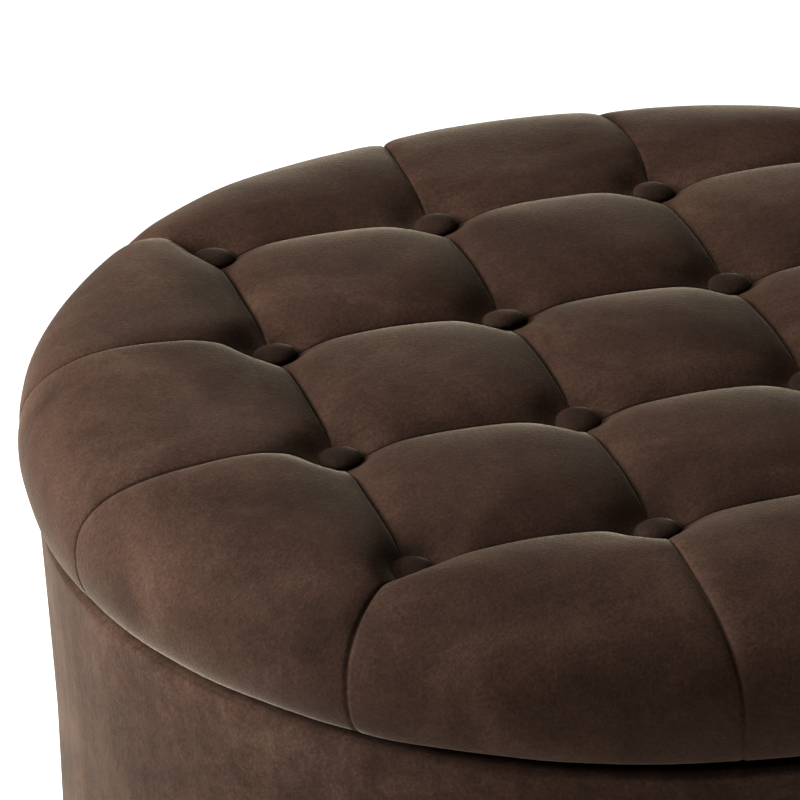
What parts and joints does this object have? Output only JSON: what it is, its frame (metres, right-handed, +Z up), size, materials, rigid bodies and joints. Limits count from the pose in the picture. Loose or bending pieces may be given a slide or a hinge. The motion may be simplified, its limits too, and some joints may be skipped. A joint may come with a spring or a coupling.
{
  "type": "round storage ottoman",
  "caption": "Round tufted storage ottoman: a hinged, button-tufted velvet lid over a hollow upholstered drum, held open by slotted stays, on short turned feet.",
  "frame": {"origin": "on the floor under the middle of the drum", "axes": "+Z up, -Y towards the front where the lid lifts, +X along the rows of buttons"},
  "size_m": [0.636, 0.636, 0.46],
  "materials": {
    "plywood": "raw birch plywood",
    "zinc_steel": "zinc plated",
    "hinge_steel": "nickel plated, satin",
    "velvet": "short-pile velvet, dark mushroom brown",
    "foam": "open-cell upholstery foam",
    "wadding": "polyester wadding",
    "lining": "plain woven lining",
    "dust_cloth": "spun-bonded non-woven",
    "foot_wood": "dark stain, satin lacquer",
    "glide_plastic": "moulded",
    "bumper_rubber": "moulded",
    "twine": "waxed nylon twine"
  },
  "bodies": {
    "base": {"floor_panel": "plywood", "top_ring": "plywood", "ring_posts": "plywood", "frame_screws": "zinc_steel", "side_shell": "plywood", "side_foam": "foam", "side_cover": "velvet", "rim_wrap": "velvet", "inner_lining": "lining", "floor_liner": "lining", "dust_cover": "dust_cloth", "bottom_staples": "zinc_steel", "feet": "foot_wood", "foot_bolts": "zinc_steel", "tee_nuts": "zinc_steel", "foot_glides": "glide_plastic", "rim_bumpers": "bumper_rubber", "hinge_base_leaf_left": "hinge_steel", "hinge_base_leaf_right": "hinge_steel", "hinge_pin_left": "hinge_steel", "hinge_pin_right": "hinge_steel", "hinge_base_screws": "hinge_steel", "stay_base_bracket_left": "hinge_steel", "stay_base_bracket_right": "hinge_steel", "stay_pin_left": "hinge_steel", "stay_pin_right": "hinge_steel", "stay_base_screws": "hinge_steel"},
    "lid": {"lid_board": "plywood", "lid_edge_foam": "foam", "lid_foam": "foam", "tuft_pads": "foam", "lid_wadding": "wadding", "lid_cover": "velvet", "tuft_buttons_back": "velvet", "tuft_buttons_mid_back": "velvet", "tuft_buttons_mid_front": "velvet", "tuft_buttons_front": "velvet", "tuft_twines": "twine", "twine_anchors": "glide_plastic", "lid_lining": "lining", "lid_staples": "zinc_steel", "hinge_lid_leaf_left": "hinge_steel", "hinge_lid_leaf_right": "hinge_steel", "hinge_lid_screws": "hinge_steel", "stay_lid_bracket_left": "hinge_steel", "stay_lid_bracket_right": "hinge_steel", "stay_rivet_left": "hinge_steel", "stay_rivet_right": "hinge_steel", "stay_lid_screws": "hinge_steel"},
    "stay_arm_left": {"stay_arm_left": "hinge_steel"},
    "stay_arm_right": {"stay_arm_right": "hinge_steel"}
  },
  "joints": [
    {"name": "lid_hinge", "type": "hinge", "parent": "base", "child": "lid", "pos_m": [0, 0.3135, 0.3833], "axis": [-1, 0, 0], "range_deg": [0, 90]},
    {"name": "stay_left_pivot", "type": "hinge", "parent": "lid", "child": "stay_arm_left", "pos_m": [-0.149, 0.16379, 0.374], "axis": [-1, 0, 0], "range_deg": [-45, 0]},
    {"name": "stay_right_pivot", "type": "hinge", "parent": "lid", "child": "stay_arm_right", "pos_m": [0.149, 0.16379, 0.374], "axis": [-1, 0, 0], "range_deg": [-45, 0]}
  ],
  "couplings": [
    {"joint": "stay_left_pivot", "follows": "lid_hinge", "ratio": -0.5},
    {"joint": "stay_right_pivot", "follows": "lid_hinge", "ratio": -0.5}
  ]
}
